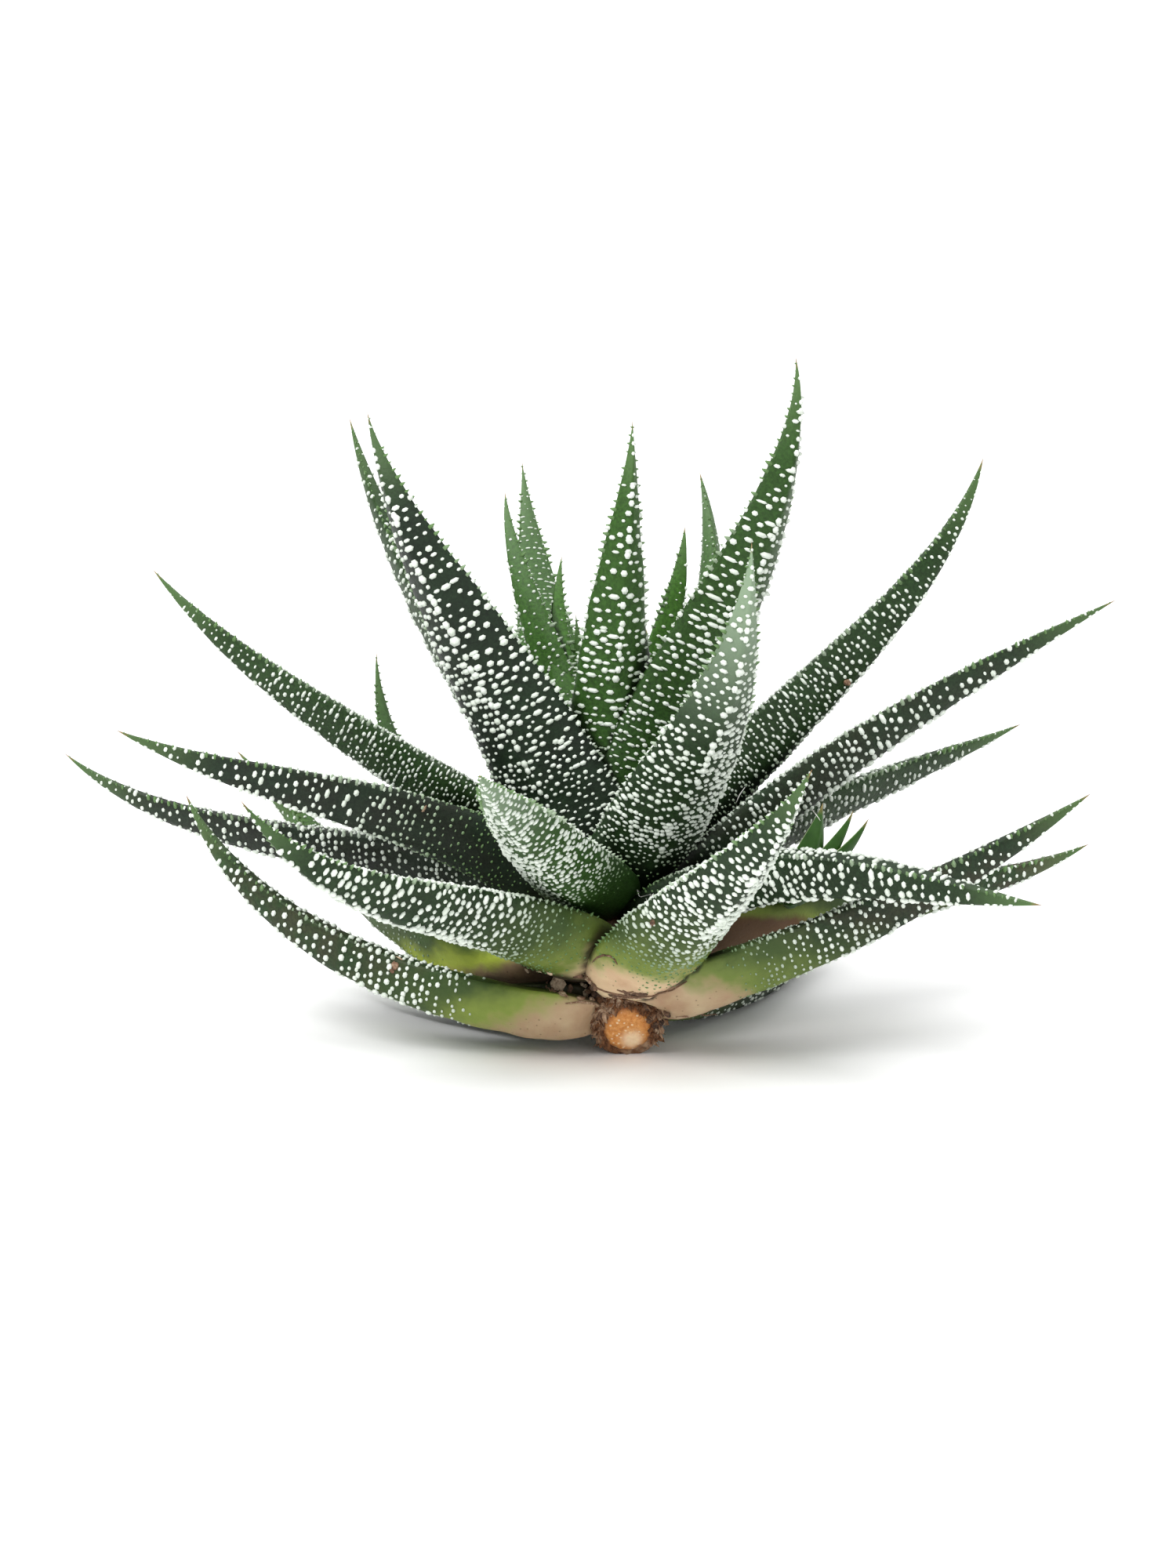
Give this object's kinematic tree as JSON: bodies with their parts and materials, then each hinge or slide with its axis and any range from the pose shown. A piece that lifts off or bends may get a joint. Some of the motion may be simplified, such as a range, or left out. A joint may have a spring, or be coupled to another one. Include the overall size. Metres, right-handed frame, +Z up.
{
  "type": "zebra haworthia rosette, cut from its root",
  "caption": "Cut haworthia rosette: thick pointed green leaves covered in raised white warts, on a short stem, resting tilted back on a table.",
  "frame": {"origin": "on the table, at the small flat spot under the rim of the cut stem", "axes": "+Z up from the table, +X to the right of the plant as pictured, +Y away from the front"},
  "size_m": [0.1242, 0.101, 0.0792],
  "materials": {
    "leaf": "fleshy dark green leaf with raised white warts, satin",
    "young_leaf": "fleshy mid green leaf with small white warts, satin",
    "offset_leaf": "smooth bright green young leaf, satin",
    "stem_bark": "dry brown flaking bark round an orange cut face"
  },
  "bodies": {
    "root": {"stem": "stem_bark", "leaf_heart_left": "young_leaf", "leaf_inner_left": "young_leaf", "leaf_heart_centre": "young_leaf", "leaf_inner_right": "young_leaf", "leaf_back_left_tall": "leaf", "leaf_back_right_tall": "leaf", "leaf_front_centre": "leaf", "leaf_back_inner": "leaf", "leaf_right_tall": "leaf", "leaf_left_tall": "leaf", "leaf_left_upper": "leaf", "leaf_back_upper": "leaf", "leaf_front_left_broad": "leaf", "leaf_front_keeled": "leaf", "leaf_front_facing": "leaf", "leaf_left_middle": "leaf", "leaf_back_right_upper": "leaf", "leaf_right_upper": "leaf", "leaf_left_long": "leaf", "leaf_back_left": "leaf", "leaf_right_drooping": "leaf", "leaf_right_back": "leaf", "leaf_right_middle": "leaf", "leaf_back_middle": "leaf", "leaf_right_lower_back": "leaf", "leaf_left_lower_back": "leaf", "leaf_left_front_low": "leaf", "leaf_prop_left": "leaf", "leaf_right_front_low": "leaf", "leaf_left_scarred": "leaf", "leaf_prop_right": "leaf", "leaf_right_bottom": "leaf", "leaf_left_bottom": "leaf", "offset_right": "offset_leaf"}
  },
  "joints": []
}
